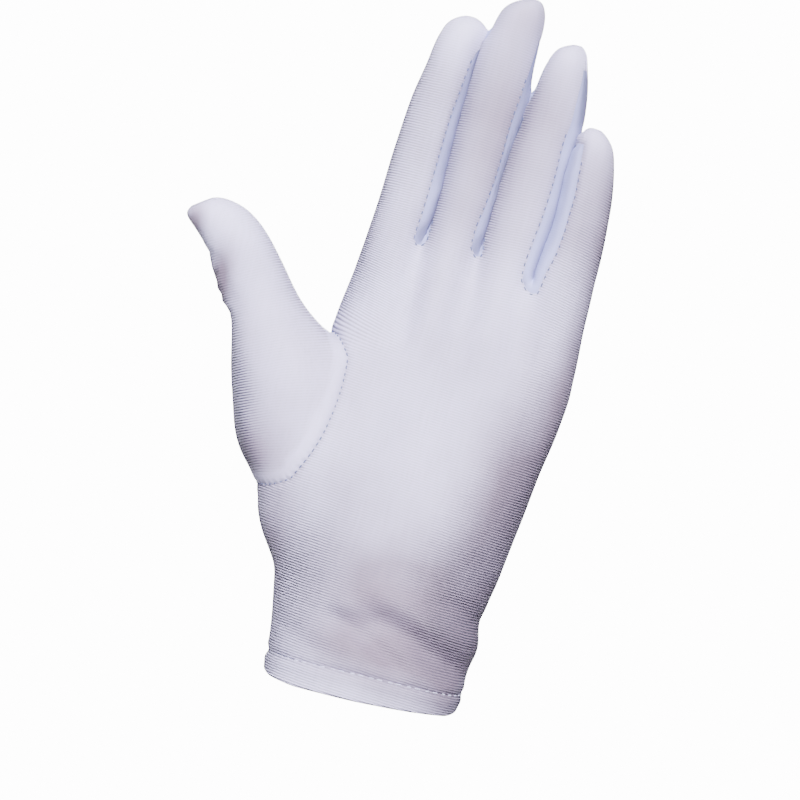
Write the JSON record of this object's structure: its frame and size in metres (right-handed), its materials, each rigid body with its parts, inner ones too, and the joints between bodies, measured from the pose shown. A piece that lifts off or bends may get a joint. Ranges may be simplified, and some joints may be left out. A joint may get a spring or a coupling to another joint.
{
  "type": "dress glove",
  "caption": "White ribbed nylon parade glove for the left hand, in its worn form: palm and back in one piece, set-in thumb, finger side strips and a turned hem.",
  "frame": {"origin": "centre of the wrist opening", "axes": "+Z from the wrist opening towards the fingertips, +X towards the little finger, -Y out of the palm side"},
  "size_m": [0.129, 0.0402, 0.2234],
  "materials": {
    "rib_knit": "matt ribbed nylon knit with a soft sheen",
    "side_strip": "smooth nylon knit",
    "hem": "matt ribbed nylon knit, turned double"
  },
  "bodies": {
    "root": {"trank": "rib_knit", "thumb": "rib_knit", "fourchette_index_middle": "side_strip", "fourchette_middle_ring": "side_strip", "fourchette_ring_little": "side_strip", "cuff_hem": "hem"}
  },
  "joints": []
}
